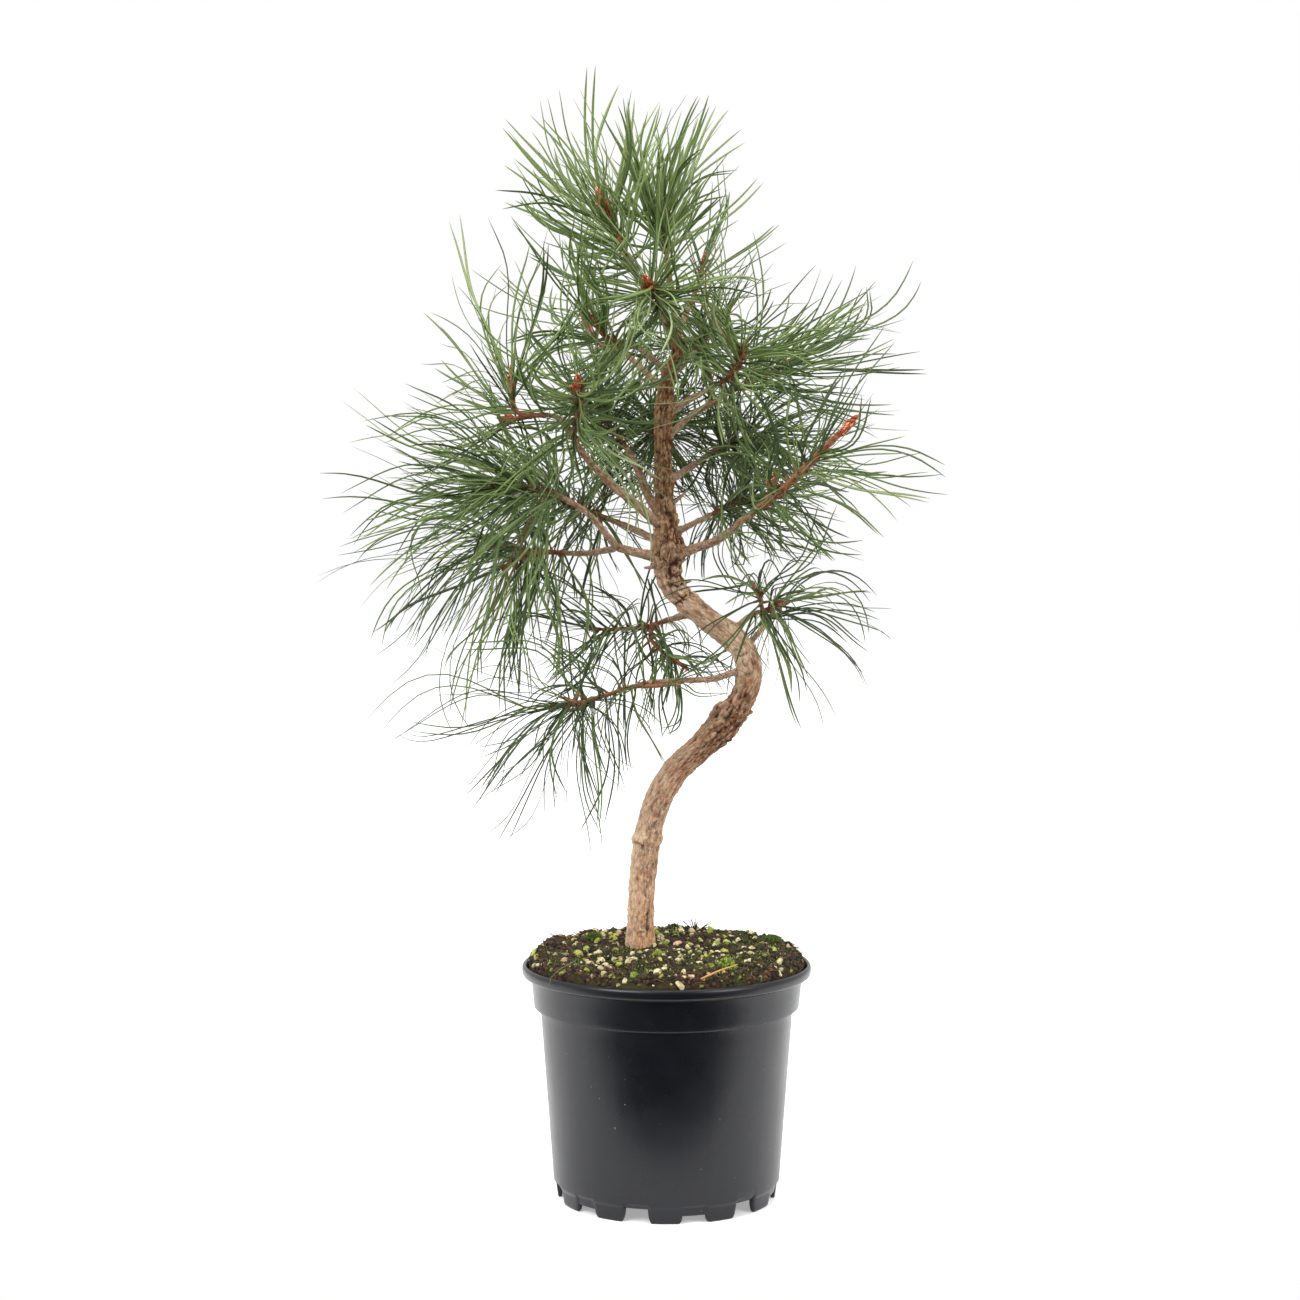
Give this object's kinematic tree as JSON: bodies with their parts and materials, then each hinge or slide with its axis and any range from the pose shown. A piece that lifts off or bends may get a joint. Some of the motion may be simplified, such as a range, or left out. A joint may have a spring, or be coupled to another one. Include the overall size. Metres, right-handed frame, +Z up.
{
  "type": "potted pine tree",
  "caption": "Young long-needled pine with an S-curved stem and loose tufted crown, standing in a black plant pot on its ring of feet.",
  "frame": {"origin": "middle of the pot's underside, on the plane that its feet and its middle pad stand on", "axes": "+Z up along the pot's axis, -Y towards the viewer of the picture, +X to that viewer's right"},
  "size_m": [0.4023, 0.2644, 0.7358],
  "materials": {
    "pot": "satin black moulded plastic",
    "soil": "rough peat with pale grains and moss",
    "bark": "rough flaking bark",
    "needles": "smooth waxy green"
  },
  "bodies": {
    "root": {"bough_back_centre": "bark", "bough_back_left": "bark", "bough_back_left_low": "bark", "bough_back_right": "bark", "bough_high_left": "bark", "bough_high_left_back": "bark", "bough_leader_back": "bark", "bough_leader_front": "bark", "bough_leader_left": "bark", "bough_leader_right": "bark", "bough_low_left": "bark", "bough_mid_left": "bark", "bough_right_long": "bark", "bough_right_low": "bark", "bough_right_low_back": "bark", "bough_right_small": "bark", "bough_right_upper": "bark", "bough_right_upper_outer": "bark", "bough_upper_back": "bark", "bough_upper_left": "bark", "bough_upper_left_outer": "bark", "bough_whorl_left": "bark", "bough_whorl_left_lower": "bark", "bough_whorl_left_upper": "bark", "needles_back_centre": "needles", "needles_back_left": "needles", "needles_back_left_low": "needles", "needles_back_right": "needles", "needles_high_left": "needles", "needles_high_left_back": "needles", "needles_low_left": "needles", "needles_mid_left": "needles", "needles_mid_left_front": "needles", "needles_mid_left_outer": "needles", "needles_right_long": "needles", "needles_right_low": "needles", "needles_right_low_back": "needles", "needles_right_small": "needles", "needles_right_upper_outer": "needles", "needles_top_back": "needles", "needles_top_front": "needles", "needles_top_left": "needles", "needles_top_right": "needles", "needles_upper_back": "needles", "needles_upper_right": "needles", "needles_whorl_left_lower": "needles", "needles_whorl_left_upper": "needles", "pot": "pot", "soil": "soil", "trunk": "bark"}
  },
  "joints": []
}
